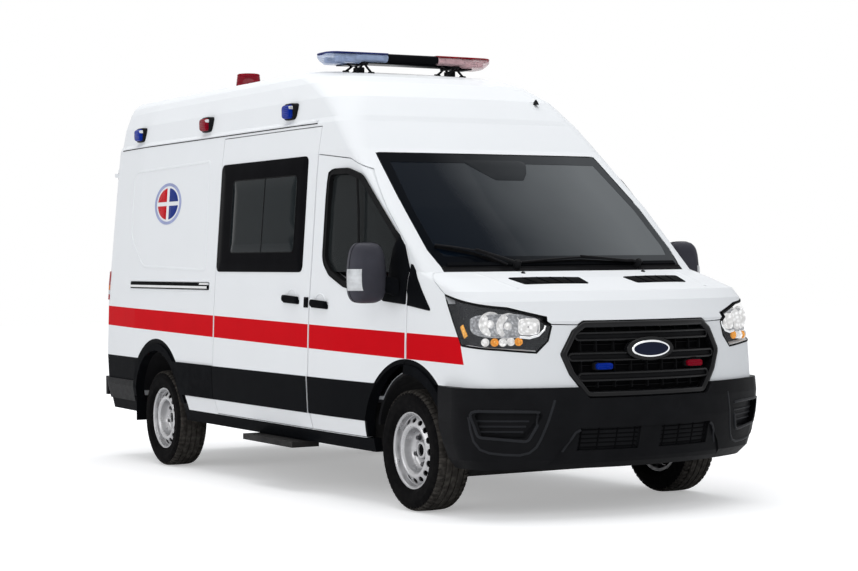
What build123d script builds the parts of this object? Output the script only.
from build123d import *
import math
import os

os.makedirs("parts", exist_ok=True)

# ---------------------------------------------------------------------------
# Frame: +X forward, +Y left, +Z up, millimetres, origin on the ground under
# the middle of the vehicle.  Body pieces are drawn in a body frame whose x is
# counted from the front axle, then leaned by the rake and moved into place.
# ---------------------------------------------------------------------------
WHEELBASE = 3750.0
FRONT_OVERHANG = 1050.0
REAR_OVERHANG = 1208.0
RAKE = math.degrees(0.016)          # the unladen rear rides higher
TRACK = 1732.0
GAP = 6.0                           # panel gap between neighbours
WALL = 56.0                         # thickness of doors and walls
ROOF_WALL = 40.0                    # thickness of roof and bonnet
GLASS = 6.0
SEAT_GAP = 0.3                      # between a moving piece and what it rests on
BELT = 1375.0                       # height where the bonnet meets the windscreen
DRIP = 2311.0                       # height of the drip moulding
SILL = 305.0
DOOR_BOTTOM = 390.0
CLAD_BOTTOM = 490.0
CLAD_TOP = 722.0
CLAD_PROUD = 12.0

TYRE_RADIUS = 350.0
TYRE_WIDTH = 235.0
RIM_RADIUS = 203.0
FLANGE_RADIUS = 220.0
RIM_WIDTH = 180.0
ARCH_RADIUS = 445.0
ARCH_TRIM = 55.0
KINGPIN_Y = 800.0
SPINDLE = 35.95                      # radius of the wheel spindles
HUB_BORE = 36.0

TAIL = -4900.0
CROWN_TOP = 2740.0
CROWN_RADIUS = 4700.0

LOWER_SINK = 1110.0                  # rows above this sink with the bonnet's thickness
UPPER_SINK = 2200.0                  # rows above this sink with the roof's thickness

X_SHIFT = (WHEELBASE + REAR_OVERHANG - FRONT_OVERHANG) / 2
RAKE_PIVOT = Axis((0, 0, TYRE_RADIUS), (0, 1, 0))
HALF_TRACK = TRACK / 2
AXLES = (0.0, -WHEELBASE)

# Widths of the body's side by height: z, half width amidships, half width at the tail
SIDE = [
    (250.0, 950.0, 925.0),
    (SILL, 960.0, 935.0),
    (385.0, 985.0, 955.0),
    (500.0, 1008.0, 978.0),
    (740.0, 1018.0, 988.0),
    (1000.0, 1012.0, 982.0),
    (1106.0, 1006.0, 976.0),
    (1213.0, 999.0, 969.0),
    (1267.0, 996.0, 966.0),
    (1339.0, 990.0, 958.0),
    (BELT, 987.0, 954.0),
    (1750.0, 958.0, 918.0),
    (2130.0, 930.0, 880.0),
    (DRIP, 905.0, 862.0),
    (2347.0, 882.0, 840.0),
    (2480.0, 852.0, 812.0),
    (2590.0, 805.0, 770.0),
    (2640.0, 775.0, 742.0),
    (2675.0, 735.0, 705.0),
    (2700.0, 690.0, 662.0),
    (2800.0, 480.0, 460.0),
]

# Nose, by height: z, foremost x, bow of the front arc, half width there, corner radius
LOWER_ROWS = [
    (SILL, 880.0, 280.0, 930.0, 200.0),
    (500.0, 960.0, 300.0, 960.0, 220.0),
    (740.0, 1015.0, 300.0, 968.0, 235.0),
    (1106.0, 990.0, 300.0, 962.0, 240.0),
    (1213.0, 905.0, 265.0, 958.0, 235.0),
    (1267.0, 815.0, 232.0, 955.0, 225.0),
    (1339.0, 525.0, 195.0, 950.0, 200.0),
    (BELT, 345.0, 170.0, 944.0, 150.0),
]
# Windscreen and dome, by height, same columns
UPPER_ROWS = [
    (BELT, 317.0, 165.0, 940.0, 70.0),
    (1750.0, -197.0, 80.0, 935.0, 75.0),
    (2130.0, -717.0, 35.0, 915.0, 100.0),
    (DRIP, -905.0, 40.0, 885.0, 150.0),
    (2347.0, -935.0, 42.0, 868.0, 165.0),
    (2480.0, -1075.0, 55.0, 840.0, 240.0),
    (2590.0, -1270.0, 60.0, 795.0, 320.0),
    (2640.0, -1430.0, 65.0, 765.0, 340.0),
    (2675.0, -1600.0, 70.0, 725.0, 340.0),
    (2700.0, -1790.0, 75.0, 680.0, 330.0),
    (2800.0, -2700.0, 90.0, 470.0, 250.0),
]


def side_width(z, column):
    """Half width of the body at height z, from the SIDE table."""
    for low, high in zip(SIDE, SIDE[1:]):
        if low[0] <= z <= high[0]:
            share = (z - low[0]) / (high[0] - low[0])
            return low[column] + share * (high[column] - low[column])
    return SIDE[-1][column]


def outline(row, inset, z):
    """Closed plan outline of the body at one height, drawn at height z."""
    height, nose, bow, front_w, front_r = row
    mid_w = side_width(height, 1) - inset
    rear_w = side_width(height, 2) - inset
    front_w = front_w - inset
    nose = nose - inset
    tail = TAIL + inset
    shoulder = min(-900.0, nose - bow - 700.0)
    left = [(nose - bow, front_w), (shoulder, mid_w), (TAIL + 700, mid_w), (tail, rear_w)]
    points = [Vector(x, y, z) for x, y in left] + [Vector(x, -y, z) for x, y in reversed(left)]
    edges = [Edge.make_line(a, b) for a, b in zip(points, points[1:])]
    edges.append(Edge.make_three_point_arc(points[-1], Vector(nose, 0, z), points[0]))
    face = Face(Wire(edges))

    def corners(which):
        spots = [points[i] for i in which]
        return [v for v in face.vertices() if min((Vector(v) - s).length for s in spots) < 1]

    rear_r = max(90.0 - inset, 30.0)
    face = face.fillet_2d(rear_r, corners((3, 4)))
    face = face.fillet_2d(max(front_r - inset, 30.0), corners((0, 7)))
    return face.outer_wire()


def stack(rows, inset, drop_from, drop, start=None):
    """Ruled loft through the outlines; rows above drop_from sink by drop."""
    wires = []
    for row in rows:
        z = row[0] - (drop if row[0] > drop_from else 0)
        if start is not None and row is rows[0]:
            z = start
        wires.append(outline(row, inset, z))
    return Solid.make_loft(wires, ruled=True)


def crown(drop):
    """Long barrel that rounds the roof across."""
    center = CROWN_TOP - drop - CROWN_RADIUS
    barrel = Cylinder(CROWN_RADIUS, 8000, rotation=(0, 90, 0))
    return Pos(-2000, 0, center) * barrel


def body_form(inset, drop, low=SILL, belt=BELT):
    """The whole outer skin moved in by inset and down by drop."""
    lower = stack(LOWER_ROWS, inset, LOWER_SINK, drop, low)
    upper = stack(UPPER_ROWS, inset, UPPER_SINK, drop, belt)
    return lower + (upper & crown(drop))


def prism_side(points, y0, y1):
    """Polygon of (x, z) points, extruded from y0 to y1."""
    face = Face(Wire.make_polygon([Vector(x, y0, z) for x, z in points], close=True))
    return Solid.extrude(face, Vector(0, y1 - y0, 0))


def prism_front(points, x0, x1, radius=0.0):
    """Polygon of (y, z) points, its corners rounded, extruded from x0 to x1."""
    face = Face(Wire.make_polygon([Vector(x0, y, z) for y, z in points], close=True))
    if radius > 0:
        face = face.fillet_2d(radius, face.vertices())
    return Solid.extrude(face, Vector(x1 - x0, 0, 0))


def prism_plan(points, z0, z1):
    """Polygon of (x, y) points, extruded from z0 to z1."""
    face = Face(Wire.make_polygon([Vector(x, y, z0) for x, y in points], close=True))
    return Solid.extrude(face, Vector(0, 0, z1 - z0))


def block(x0, x1, y0, y1, z0, z1):
    """Box between two corners."""
    middle = Pos((x0 + x1) / 2, (y0 + y1) / 2, (z0 + z1) / 2)
    return middle * Box(abs(x1 - x0), abs(y1 - y0), abs(z1 - z0))


def rod(a, b, radius):
    """Round bar from point a to point b."""
    a, b = Vector(a), Vector(b)
    plane = Plane(origin=a, z_dir=b - a)
    return extrude(plane * Circle(radius), (b - a).length)


def across(radius, x, z, y0, y1):
    """Cylinder along Y at (x, z)."""
    return rod((x, y0, z), (x, y1, z), radius)


def both(shape):
    """A shape and its mirror image on the other side."""
    return [shape, mirror(shape, about=Plane.XZ)]


def solids_of(shapes):
    """Flat list of solids out of shapes, lists and compounds."""
    found = []
    for shape in shapes if isinstance(shapes, (list, tuple)) else [shapes]:
        found.extend(shape.solids())
    return found


def keep_big(shape, floor=20000.0):
    """Solids above a volume, which drops slivers left by a cut."""
    return [s for s in solids_of(shape) if s.volume > floor]


def place(shape):
    """From the body frame to the row frame, with the rake."""
    return Pos(X_SHIFT, 0, 0) * shape.rotate(RAKE_PIVOT, RAKE)


def level(shape):
    """From the axle frame to the row frame, with no rake."""
    return Pos(X_SHIFT, 0, 0) * shape


NODES = {}


def add(name, shapes, put=place):
    """Stores one node."""
    parts = [put(s) for s in solids_of(shapes)]
    NODES[name] = parts[0] if len(parts) == 1 else Compound(children=parts)


# --- Body shell -------------------------------------------------------------
OUTER = body_form(0, 0)
INNER = body_form(WALL, ROOF_WALL, SILL - 40, BELT - 90)
SHELL = OUTER - INNER
ARCH_Z = TYRE_RADIUS - 5
ARCHES = [across(ARCH_RADIUS, x, ARCH_Z, -1200, 1200) for x in AXLES]


def skin(rows, outer, inner, zone):
    """Layer between two insets of one loft, inside a zone."""
    start = rows[0][0]
    return (stack(rows, outer, 1e6, 0, start) & zone) - stack(rows, inner, 1e6, 0, start - 5)


def grow(points, amount):
    """Polygon of points with every side moved outward by amount."""
    count = len(points)
    area = sum(points[i - 1][0] * points[i][1] - points[i][0] * points[i - 1][1] for i in range(count))
    turn = 1 if area > 0 else -1
    lines = []
    for i in range(count):
        (ax, ay), (bx, by) = points[i - 1], points[i]
        length = math.hypot(bx - ax, by - ay)
        nx, ny = turn * (by - ay) / length, -turn * (bx - ax) / length
        lines.append((nx, ny, nx * ax + ny * ay + amount))
    grown = []
    for i in range(count):
        (n1x, n1y, d1), (n2x, n2y, d2) = lines[i], lines[(i + 1) % count]
        det = n1x * n2y - n1y * n2x
        if abs(det) < 1e-6:
            grown.append((points[i][0] + n1x * amount, points[i][1] + n1y * amount))
        else:
            grown.append(((d1 * n2y - d2 * n1y) / det, (n1x * d2 - n2x * d1) / det))
    return grown


def flip(shapes):
    """Mirror images on the other side of the vehicle."""
    return [mirror(s, about=Plane.XZ) for s in solids_of(shapes)]


def half_and_mirror(points):
    """Closed polygon out of its left half."""
    return points + [(-a, b) for a, b in reversed(points)]


# Outlines of the openings, in side view (x, z), front view (y, z) or plan (x, y)
FRONT_DOOR = [(-1220, DOOR_BOTTOM), (-1220, 2112), (-800, 2068), (-590, 1995), (-75, 1535),
              (-12, 1400), (-4, 1035), (-60, DOOR_BOTTOM)]
FRONT_WINDOW = [(-1050, 1450), (-1050, 1990), (-800, 1985), (-620, 1940), (-150, 1560), (-150, 1300),
                (-262, 1232), (-776, 1308), (-960, 1375)]
SLIDING = (-2710.0, -1228.0, DOOR_BOTTOM, 2290.0)
SIDE_PANES = (-2490.0, -1490.0, 1500.0, 1990.0)
REAR_DOOR_HALF = 842.0
REAR_DOOR_LOW = 560.0
REAR_DOOR = [(4, REAR_DOOR_LOW), (REAR_DOOR_HALF, REAR_DOOR_LOW), (REAR_DOOR_HALF, 2190), (800, 2347),
             (768, 2480), (734, 2560), (4, 2560)]
REAR_WINDOW = (130.0, 700.0, 1450.0, 2080.0)
BONNET_REAR = [(335, 0), (322, 350), (275, 620), (205, 830), (185, 1000), (185, 1300)]
BONNET_SIDE = [(100, 1376), (190, 1372), (402, 1255), (752, 1181), (862, 1130), (885, 1092), (1300, 1050)]
GRILLE_HEX = [(405, 1102), (470, 1055), (540, 925), (495, 812), (400, 684)]
GRILLE_ROUND = 28.0
LAMP = [(402, 1249), (752, 1178), (862, 1127), (890, 1080), (888, 1000), (868, 936), (778, 953), (585, 975)]
SCREEN = [(840, 1402), (862, 1500), (850, 1750), (800, 2100)]
BUMPER_TOP = 745.0
B_PILLAR = -1290.0
FLOOR_TOP = 640.0
FLOOR_THICK = 40.0

door_hole = prism_side(grow(FRONT_DOOR, GAP / 2), 600, 1200)
door_core = prism_side(grow(FRONT_DOOR, -GAP / 2), 600, 1200)
arch_front = across(ARCH_RADIUS + ARCH_TRIM + GAP, 0, ARCH_Z, 600, 1200)
window_hole = prism_side(FRONT_WINDOW, 600, 1200)
slide_x = (SLIDING[0] + GAP / 2, SLIDING[1] - GAP / 2)
slide_core = block(*slide_x, -1200, -600, SLIDING[2] + GAP / 2, SLIDING[3] - GAP / 2)
slide_hole = block(slide_x[0] - GAP, slide_x[1] + GAP, -1200, -600,
                   SLIDING[2] - GAP / 2, SLIDING[3] + GAP / 2)
pane_hole = block(SIDE_PANES[0], SIDE_PANES[1], -1200, -600, SIDE_PANES[2], SIDE_PANES[3])
bonnet_plan = BONNET_REAR + [(1300, 1300), (1300, -1300)] + [(x, -y) for x, y in reversed(BONNET_REAR[1:])]
bonnet_side = BONNET_SIDE + [(1300, BELT), (100, BELT)]
bonnet_core = prism_plan(bonnet_plan, 900, BELT) & prism_side(bonnet_side, -1200, 1200)
bonnet_hole = prism_plan(grow(bonnet_plan, GAP), 900, BELT + 10)
bonnet_hole = bonnet_hole & prism_side(grow(bonnet_side, GAP), -1200, 1200)
grille_hex = half_and_mirror(GRILLE_HEX)
grille_hole = prism_front(grille_hex, 600, 1200, GRILLE_ROUND)
grille_clear = prism_front(grow(grille_hex, GAP), 600, 1200, GRILLE_ROUND)
lamp_core = prism_side(LAMP, 400, 1200)
lamp_clear = prism_side(grow(LAMP, GAP), 400, 1200)
rear_core = prism_front(REAR_DOOR, TAIL - 60, TAIL + WALL + 40)
rear_hole = prism_front(grow(half_and_mirror(REAR_DOOR[1:-1]), GAP), TAIL - 60, TAIL + WALL + 200)
rear_pane = block(TAIL - 60, TAIL + 200, REAR_WINDOW[0], REAR_WINDOW[1], REAR_WINDOW[2], REAR_WINDOW[3])
screen = half_and_mirror(SCREEN)
screen_zone = prism_front(screen, -760, 400)
screen_hole = prism_front(grow(screen, 1), -760, 400)


def cut_all(shape, tools):
    """Shape less every tool."""
    for tool in tools:
        shape = shape - tool
    return shape


# Cab doors: the wall's own thickness, a window, and the cladding band fused on
clad_zone = block(-1220 + GAP / 2, -200, 700, 1300, CLAD_BOTTOM, CLAD_TOP)
front_door = (SHELL & block(-1300, 100, 600, 1200, 300, 2200)) & door_core
front_door = cut_all(front_door + skin(LOWER_ROWS, -CLAD_PROUD, 20, clad_zone), [arch_front, window_hole])
front_door = keep_big(front_door)[0]
front_pane = skin(UPPER_ROWS, 18, 18 + GLASS, window_hole)
add("front_door_left", front_door)
add("front_door_right", flip(front_door))
add("front_door_glass_left", keep_big(front_pane))
add("front_door_glass_right", flip(keep_big(front_pane)))

# Sliding door with its glass
slide_clad = skin(LOWER_ROWS, -CLAD_PROUD, 20, block(*slide_x, -1300, -700, CLAD_BOTTOM, CLAD_TOP))
sliding = ((SHELL & slide_core) - pane_hole) + slide_clad
add("sliding_door", keep_big(sliding))
add("sliding_door_glass", skin(UPPER_ROWS, 20, 20 + GLASS, pane_hole))

# Hinges of the rear doors: a barrel with one leaf on the wall and one on the door
REAR_HINGE_X = TAIL - 8
REAR_HINGE_Y = REAR_DOOR_HALF + 8
HINGE_LEAF = 30.0
HINGE_HEIGHTS = (700.0, 1500.0, 2110.0)
BARREL = 8.0


def hinge_leaf(z, x0, x1, y0, y1):
    """One leaf with its part of the barrel."""
    barrel = rod((REAR_HINGE_X, REAR_HINGE_Y, z), (REAR_HINGE_X, REAR_HINGE_Y, z + HINGE_LEAF), BARREL)
    return barrel + block(x0, x1, y0, y1, z, z + HINGE_LEAF)


wall_leaves = [hinge_leaf(z, TAIL - 12, TAIL + 40, REAR_HINGE_Y + 2, REAR_HINGE_Y + 35)
               for z in HINGE_HEIGHTS]
door_leaves = [hinge_leaf(z + HINGE_LEAF + SEAT_GAP, TAIL - 12, TAIL + 20,
                          REAR_HINGE_Y - 45, REAR_HINGE_Y - 2) for z in HINGE_HEIGHTS]

# Side walls, from the B pillar back to the rear door frame, up to the drip moulding
wall = (SHELL & block(-5000, B_PILLAR, 0, 1200, SILL, DRIP)) - ARCHES[1] - rear_hole
for leaf in wall_leaves:
    wall = wall + leaf
add("side_wall_left", keep_big(wall))
add("side_wall_right", keep_big(flip(wall)[0] - slide_hole))

# Roof: everything above the drip moulding
add("roof", keep_big((SHELL & block(-5000, 500, -1200, 1200, DRIP, 3000)) - rear_hole))

# Cab frame: pillars, header, cowl
cab = SHELL & (block(B_PILLAR, -4, 0, 1200, SILL, DRIP) + block(-4, 400, 0, 1200, BELT + 25, DRIP)
               + block(-4, 340, 0, 858, BELT - 60, BELT + 25))
cab = cut_all(cab, [door_hole, screen_hole, ARCHES[0], bonnet_hole])
cab = keep_big(cab)
right_cab = [s - slide_hole for s in flip(cab)]
LIP_X = (290.0, 316.0, 352.0)
LIP_HALF = 320.0
lip_front = block(LIP_X[1], LIP_X[2], -LIP_HALF, LIP_HALF, 1290, 1328) - Pos(0, 0, -SEAT_GAP) * SHELL
lip = block(LIP_X[0], LIP_X[1], -LIP_HALF, LIP_HALF, 1290, 1340) + keep_big(lip_front)[0]
cab_all = cab[0]
for piece in cab[1:] + right_cab + [lip]:
    cab_all = cab_all + piece
add("cab_frame", keep_big(cab_all))
add("windscreen", skin(UPPER_ROWS, 4, 14, screen_zone))

# Front wings
wing = SHELL & block(-2, 1200, 100, 1200, 480, BELT + 25)
wing = cut_all(wing, [door_hole, bonnet_hole, grille_hole, lamp_core, ARCHES[0], screen_hole,
                      block(300, 1300, 0, 1300, 0, BUMPER_TOP), block(-10, 345, 0, 858, 0, 1500)])
wing = keep_big(wing, 200000)
add("front_wing_left", wing)
add("front_wing_right", flip(wing))

# Bonnet and headlamps
bonnet = cut_all(SHELL & bonnet_core, [lamp_clear, mirror(lamp_clear, about=Plane.XZ), grille_clear])
add("bonnet", keep_big(bonnet, 200000))
lamp = keep_big(skin(LOWER_ROWS, 0, 45, lamp_core) - bonnet_hole)[0]

# Grille: a ring, three ribbed bars and a back plate
GRILLE_BARS = (798.0, 908.0, 1019.0)
GRILLE_RIB = 11.0
GRILLE_RIB_SHIFT = 19.0
GRILLE_RING = 34.0
ring_in = prism_front(grow(grille_hex, -GRILLE_RING), 600, 1200, GRILLE_ROUND / 2)
grille = skin(LOWER_ROWS, -14, 30, grille_hole) - ring_in
bar_skin = skin(LOWER_ROWS, -4, 20, grille_hole)
grille = grille + skin(LOWER_ROWS, 18, 30, grille_hole)
for z in GRILLE_BARS:
    for shift in (-GRILLE_RIB_SHIFT, GRILLE_RIB_SHIFT):
        low, high = z + shift - GRILLE_RIB, z + shift + GRILLE_RIB
        grille = grille + (bar_skin & block(600, 1200, -700, 700, low, high))
add("grille", keep_big(grille, 1000000))

# Bumper rows: z, foremost x, bow, half width at the corner, corner radius
BUMPER_ROWS = [
    (290.0, 905.0, 260.0, 930.0, 200.0),
    (345.0, 975.0, 300.0, 975.0, 220.0),
    (430.0, 1005.0, 330.0, 1005.0, 230.0),
    (560.0, 1038.0, 350.0, 1024.0, 240.0),
    (668.0, 1048.0, 350.0, 1026.0, 240.0),
    (BUMPER_TOP, 1036.0, 345.0, 1024.0, 240.0),
]
BUMPER_WALL = 40.0
BUMPER_REAR = 420.0


def bumper_form(inset, extend):
    """Solid inside the skin of the front bumper, moved in by inset."""
    wires = []
    for index, (z, nose, bow, front_w, radius) in enumerate(BUMPER_ROWS):
        height = z - (extend if index == 0 else 0) + (extend if index == len(BUMPER_ROWS) - 1 else 0)
        nose, front_w = nose - inset, front_w - inset
        pts = [Vector(nose - bow, front_w, height), Vector(300, front_w, height),
               Vector(300, -front_w, height), Vector(nose - bow, -front_w, height)]
        edges = [Edge.make_line(a, b) for a, b in zip(pts, pts[1:])]
        edges.append(Edge.make_three_point_arc(pts[-1], Vector(nose, 0, height), pts[0]))
        face = Face(Wire(edges))
        near = [v for v in face.vertices() if min((Vector(v) - p).length for p in (pts[0], pts[3])) < 1]
        wires.append(face.fillet_2d(radius - inset, near).outer_wire())
    return Solid.make_loft(wires, ruled=True)


FOG = [(634, 613), (976, 616), (927, 471), (726, 469)]
FOG_DEPTH = 26.0
INTAKE = (70.0, 440.0, 395.0, 522.0)
APRON = [(430, 522), (540, 400), (600, 280)]    # half outline of the shallow centre recess
APRON_DEPTH = 10.0
bumper = bumper_form(0, 0) - bumper_form(BUMPER_WALL, 30)
bumper = cut_all(bumper, [across(ARCH_RADIUS + 5, 0, ARCH_Z, -1300, 1300),
                          block(200, BUMPER_REAR, -1300, 1300, 0, 900),
                          prism_front(grille_hex, 600, 1300, GRILLE_ROUND)])
bumper = bumper - (prism_front(half_and_mirror(APRON), 600, 1300) - bumper_form(APRON_DEPTH, 30))
fog_floor = bumper_form(FOG_DEPTH, 30)
for sign in (1, -1):
    fog = prism_front([(sign * y, z) for y, z in FOG], 600, 1300, 20)
    intake = block(600, 1300, sign * INTAKE[0], sign * INTAKE[1], INTAKE[2], INTAKE[3])
    bumper = bumper - (fog - fog_floor) - (intake - fog_floor)
add("front_bumper", keep_big(bumper, 1000000))

# Rear bumper: a step across the back that wraps round the corners
REAR_STEP = (385.0, 545.0)
wrap = skin(LOWER_ROWS, -12, 0, block(-5000, -4200, -1100, 1100, REAR_STEP[0], REAR_STEP[1]))
step = block(-REAR_OVERHANG - WHEELBASE, TAIL - 12, -960, 960, 400, REAR_STEP[1])
rear_bumper = (wrap + step) - across(ARCH_RADIUS + ARCH_TRIM, -WHEELBASE, ARCH_Z, -1300, 1300)
add("rear_bumper", keep_big(rear_bumper))
tail_zone = block(-4960, TAIL + 85, 858, 1100, 1150, 1370)
tail_lamp = skin(LOWER_ROWS, -8, 0, tail_zone)
add("lamps", both(lamp) + both(keep_big(tail_lamp)[0]))

# Black cladding of the sides, with arch trims and mud flaps
def clad(x0, x1, z0, z1):
    """Cladding layer on the left side between two stations."""
    return skin(LOWER_ROWS, -CLAD_PROUD, 0, block(x0, x1, 700, 1300, z0, z1))


def arch_ring(x, z0, z1):
    """Trim round a wheel arch on the left side."""
    reach = ARCH_RADIUS + ARCH_TRIM
    ring = across(reach, x, ARCH_Z, 700, 1300) - across(ARCH_RADIUS, x, ARCH_Z, 600, 1400)
    return clad(x - reach, x + reach, z0, z1) & ring


rear_disc = across(ARCH_RADIUS + ARCH_TRIM - 1, -WHEELBASE, ARCH_Z, 600, 1400)
left_mid = clad(-WHEELBASE, B_PILLAR + 60, CLAD_BOTTOM, CLAD_TOP) - rear_disc
left_mid = left_mid + arch_ring(-WHEELBASE, 430, 1000) - door_hole
right_mid = flip(left_mid)[0] - slide_hole
front_ring = arch_ring(0.0, 430, 1000) - block(BUMPER_REAR, 1200, 0, 1300, 0, BUMPER_TOP)
front_ring = keep_big(front_ring - door_hole)
flap = keep_big(block(-4203, -4195, 760, 1000, 245, 430) - SHELL)[0]
add("side_cladding", keep_big(left_mid) + keep_big(right_mid) + front_ring + flip(front_ring) + both(flap))

# Rear doors with glass
rear_left = keep_big((SHELL & rear_core) - rear_pane)[0]
for leaf in door_leaves:
    rear_left = rear_left + leaf
rear_glass = skin(UPPER_ROWS, 20, 20 + GLASS, rear_pane)
add("rear_door_left", rear_left)
add("rear_door_right", flip(rear_left))
add("rear_door_glass_left", rear_glass)
add("rear_door_glass_right", flip(rear_glass))

# Floor with its raised deck, fire wall, bulkhead and wheel housings, each panel a solid of its own
DECK = (-4700.0, -1500.0, 540.0, 6.0)       # from x, to x, half width, rise
HOUSING = 22.0
WELLS = ((AXLES[0], 500.0), (AXLES[1], 590.0))
FLOOR_REAR = TAIL + WALL + GAP
FIRE_WALL_X = (30.0, 60.0)
BULKHEAD_X = (-1400.0, -1370.0)
floor = INNER & block(FLOOR_REAR, FIRE_WALL_X[1], -1200, 1200, FLOOR_TOP - FLOOR_THICK, FLOOR_TOP)
floor = floor + block(DECK[0], DECK[1], -DECK[2], DECK[2], FLOOR_TOP - 1, FLOOR_TOP + DECK[3])
fire_wall = INNER & block(*FIRE_WALL_X, -850, 850, FLOOR_TOP, BELT - 62)
room = body_form(WALL + 5, ROOF_WALL + 5, SILL - 40, BELT - 90)
bulkhead = room & block(*BULKHEAD_X, -1200, 1200, FLOOR_TOP, 2600)
bulkhead = bulkhead - block(-1500, -1300, -300, 300, 1300, 1900)
housings = []
for x, well in WELLS:
    shell = across(ARCH_RADIUS + HOUSING, x, ARCH_Z, well, 1000)
    tube = shell - across(ARCH_RADIUS, x, ARCH_Z, well + HOUSING, 1000)
    housings.append(tube & block(x - 500, x + 500, 400, 1000, 470, 900) & INNER)
    for sign in (1, -1):
        reach = across(ARCH_RADIUS + HOUSING, x, ARCH_Z, sign * well, sign * 1200)
        floor = floor - reach
        fire_wall = fire_wall - reach
add("floor", keep_big(floor, 1000000) + keep_big(fire_wall) + keep_big(bulkhead) + housings + flip(housings))

# Underframe: rails, cross members, sills, exhaust and tank
RAIL_TOP = FLOOR_TOP - FLOOR_THICK
RAIL_LOW = 480.0
RAIL_IN, RAIL_OUT = 330.0, 385.0
ENGINE_HALF = 260.0
under = block(-4800, 790, RAIL_IN, RAIL_OUT, RAIL_LOW, RAIL_TOP)
under = under + mirror(under, about=Plane.XZ)
for sign in (1, -1):
    under = under + block(370, 430, sign * ENGINE_HALF, sign * RAIL_IN, 540, 580)
for x in (-4700, -3200, -2200, -1200, 760):
    under = under + block(x - 30, x + 30, -340, 340, 490, 590)
for x in (-2900, -2000, -1300):
    under = under + block(x - 25, x + 25, -870, 870, 500, 560)
for sign in (1, -1):
    under = under + block(-3230, -560, sign * 820, sign * 890, 330, RAIL_TOP)
under = under + rod((-2900, 150, 420), (-700, 150, 420), 38)
under = under + rod((-2900, 150, 420), (-2200, 150, 420), 90)
under = under + block(-1950, -1150, -830, -420, 330, 505)
under = under + block(-2120, -1370, -1060, -870, 262, 300)
for x in (-2000, -1500):
    under = under + block(x - 20, x + 20, -895, -840, 300, 330)
    under = under + block(x - 20, x + 20, -895, -820, 262, 335)
add("underframe", under)
add("engine_block", block(120, 700, -ENGINE_HALF, ENGINE_HALF, 440, 1040))

# Seats, dashboard with column, steering wheel
BACK_REST = [(-1010, 1040), (-900, 1040), (-1060, 1700), (-1170, 1700)]
seats = []
for sign in (1, -1):
    cushion = block(-1010, -520, sign * 190, sign * 690, 900, 1040)
    back_rest = prism_side(BACK_REST, sign * 200, sign * 680)
    base = block(-950, -560, sign * 240, sign * 580, FLOOR_TOP, 900)
    seats.append(cushion + back_rest + base)
add("seats", seats)
dash = prism_side([(-330, 1000), (-330, 1240), (-200, 1310), (30, 1310), (30, 1000)], -840, 840)
COLUMN_RAKE = 60.0
wheel_centre = Vector(-470, 430, 1230)
column_axis = Vector(-math.cos(math.radians(COLUMN_RAKE)), 0, math.sin(math.radians(COLUMN_RAKE)))
dash = dash + block(-420, -320, wheel_centre.Y - 50, wheel_centre.Y + 50, 1010, 1110)
dash = dash + rod(wheel_centre - column_axis * (50 + SEAT_GAP), wheel_centre - column_axis * 150, 30)
add("dashboard", dash)
plane = Plane(origin=wheel_centre, z_dir=column_axis)
hub = Plane(origin=wheel_centre - column_axis * 25, z_dir=column_axis) * Cylinder(45, 50)
add("steering_wheel", plane * Torus(185, 15) + hub + plane * Box(350, 34, 16))

# Light bar: the cross section of its ends, its front outline, and a foot bracket
BAR_FRONT = [(642, 2821), (662, 2809), (648, 2776), (592, 2738), (408, 2738), (388, 2752)]
BAR_SIDE = [(-1897, 2808), (-1872, 2823), (-1672, 2823), (-1647, 2808), (-1666, 2762), (-1694, 2736),
            (-1850, 2736), (-1878, 2762)]
BAR_FOOT = [(395, 2755), (450, 2755), (490, 2600), (380, 2600)]
bar = prism_side(BAR_SIDE, -700, 700) & prism_front(half_and_mirror(BAR_FRONT), -1950, -1600)
for sign in (1, -1):
    foot = prism_front([(sign * y, z) for y, z in BAR_FOOT], -1845, -1725)
    bar = bar + (foot - OUTER)
add("light_bar", keep_big(bar, 1000000))

# Beacon at the rear of the roof and three flashers along each side
FLASHER_X = (-4320.0, -3030.0, -1665.0)
FLASHER_Z = 2413.0
FLASHER = (150.0, 60.0, 100.0)
beacon = Pos(-4270, 0, 2765) * Cylinder(95, 56) + Pos(-4270, 0, 2850) * Cone(88, 80, 118)
flashers = keep_big(beacon - OUTER)
for x in FLASHER_X:
    y = 902.0 - FLASHER[1] / 2 - (0.0 if x > -4000 else 34.0)
    flashers = flashers + both(keep_big(Pos(x, y, FLASHER_Z) * Box(*FLASHER) - OUTER)[0])
add("warning_lamps", flashers)

# Mirrors: housing and arm
for side, sign in (("left", 1), ("right", -1)):
    head = block(-250, -150, sign * 1045, sign * 1252, 1267, 1532)
    head = fillet(head.edges(), 24)
    arm = block(-230, -160, sign * 940, sign * 1060, 1320, 1372) - SHELL
    add("mirror_" + side, head + keep_big(arm)[-1])

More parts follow.
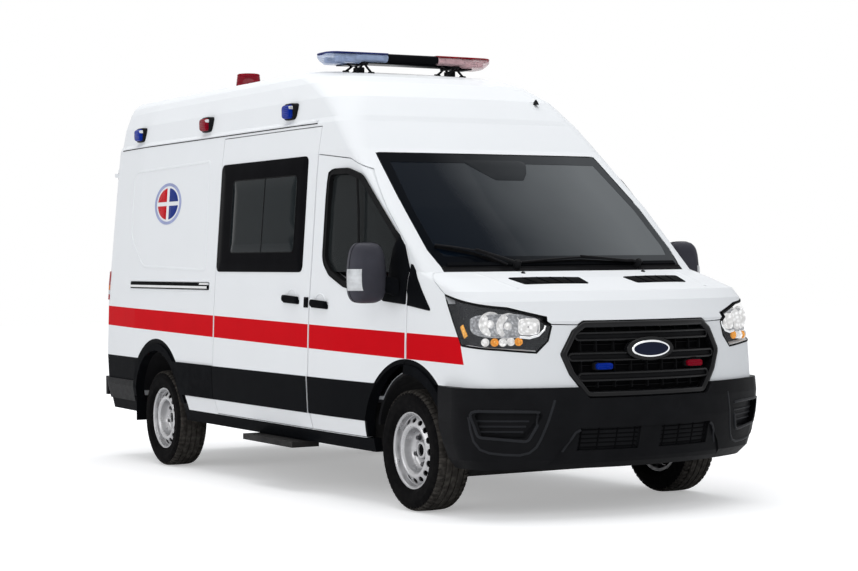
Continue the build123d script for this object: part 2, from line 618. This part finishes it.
# --- Running gear, in the axle frame ----------------------------------------
def wheel_pieces(sign):
    """Rim and tyre of one wheel at the origin, with sign toward its outer side."""
    half = TYRE_WIDTH / 2
    tread = TYRE_RADIUS
    bead, seat = RIM_WIDTH / 2 + 2, RIM_WIDTH / 2 - 4.5
    half_section = [(RIM_RADIUS + 4, seat), (FLANGE_RADIUS + 1, seat), (FLANGE_RADIUS + 1, bead),
                    (250, half), (300, half), (tread - 10, half - 18), (tread, half - 40)]
    section = half_section + [(r, -y) for r, y in reversed(half_section)]
    face = Face(Wire.make_polygon([Vector(r, y, 0) for r, y in section], close=True))
    tyre = Solid.revolve(face, 360, Axis.Y)
    rim_section = [(RIM_RADIUS - 5, -90), (FLANGE_RADIUS, -90), (FLANGE_RADIUS, -86),
                   (RIM_RADIUS + 3.7, -86), (RIM_RADIUS + 3.7, 86), (FLANGE_RADIUS, 86),
                   (FLANGE_RADIUS, 90), (RIM_RADIUS - 5, 90)]
    face = Face(Wire.make_polygon([Vector(r, y, 0) for r, y in rim_section], close=True))
    rim = Solid.revolve(face, 360, Axis.Y)
    disc_section = [(HUB_BORE, 20), (90, 20), (120, 55), (RIM_RADIUS - 3, 30), (RIM_RADIUS - 3, 20),
                    (120, 45), (95, 8), (HUB_BORE, 8)]
    face = Face(Wire.make_polygon([Vector(r, sign * y, 0) for r, y in disc_section], close=True))
    disc = Solid.revolve(face, 360, Axis.Y)
    for step in range(16):
        angle = math.radians(step * 22.5)
        x, z = 165 * math.cos(angle), 165 * math.sin(angle)
        disc = disc - across(14, x, z, -100, 100)
    return rim + disc, tyre


for end, x in (("front", 0.0), ("rear", -WHEELBASE)):
    for side, sign in (("left", 1), ("right", -1)):
        rim, tyre = wheel_pieces(sign)
        spot = Pos(x, sign * HALF_TRACK, TYRE_RADIUS)
        add("rim_" + end + "_" + side, spot * rim, level)
        add("tyre_" + end + "_" + side, spot * tyre, level)

KNUCKLE_LOW = TYRE_RADIUS - 120
for side, sign in (("left", 1), ("right", -1)):
    upright = block(-40, 40, sign * 735, sign * 790, KNUCKLE_LOW + 20, TYRE_RADIUS + 120)
    foot = block(-25, 25, sign * 735, sign * KINGPIN_Y, KNUCKLE_LOW, KNUCKLE_LOW + 30)
    foot = foot + rod((0, sign * KINGPIN_Y, KNUCKLE_LOW), (0, sign * KINGPIN_Y, KNUCKLE_LOW + 30), 25)
    spindle = across(SPINDLE, 0, TYRE_RADIUS, sign * 780, sign * (HALF_TRACK + 20))
    add("knuckle_" + side, upright + foot + spindle, level)

# Front cross beam with its lower arms, which end below the kingpins
ARM_TOP = KNUCKLE_LOW - 2 * SEAT_GAP
beam = block(-50, 50, -660, 660, ARM_TOP - 45, ARM_TOP)
for sign in (1, -1):
    beam = beam + block(-25, 25, sign * 650, sign * KINGPIN_Y, ARM_TOP - 28, ARM_TOP)
    beam = beam + rod((0, sign * KINGPIN_Y, ARM_TOP - 28), (0, sign * KINGPIN_Y, ARM_TOP), 25)
    beam = beam + block(-45, 45, sign * RAIL_IN, sign * RAIL_OUT, ARM_TOP - 10, RAIL_LOW)
add("front_subframe", beam)

# Rear axle on leaf springs; seen from the body its hubs hang lower by the rake
REAR_X = -WHEELBASE * math.cos(math.radians(RAKE))
REAR_Z = TYRE_RADIUS - WHEELBASE * math.sin(math.radians(RAKE))
SPRING_IN, SPRING_OUT = 480.0, 550.0
axle = across(42, REAR_X, REAR_Z, -740, 740) + Pos(REAR_X, 0, REAR_Z) * Sphere(150)
for sign in (1, -1):
    axle = axle + across(SPINDLE, REAR_X, REAR_Z, sign * 735, sign * (HALF_TRACK + 20))
    axle = axle + across(70, REAR_X, REAR_Z, sign * 735, sign * 770)
    spring = (sign * SPRING_IN, sign * SPRING_OUT)
    axle = axle + block(REAR_X - 720, REAR_X + 720, *spring, REAR_Z + 35, REAR_Z + 65)
    axle = axle + block(REAR_X - 50, REAR_X + 50, *spring, REAR_Z - 20, REAR_Z + 40)
    for x in (REAR_X - 700, REAR_X + 700):
        axle = axle + block(x - 25, x + 25, sign * RAIL_OUT, sign * SPRING_OUT, REAR_Z + 50, RAIL_TOP - 20)
add("rear_axle", axle)

for name, shape in NODES.items():
    export_step(shape, "parts/" + name + ".step")
print(len(NODES), "nodes")
everything = Compound(children=[s for shape in NODES.values() for s in shape.solids()])
box = everything.bounding_box()
print("box", box.min, box.max)
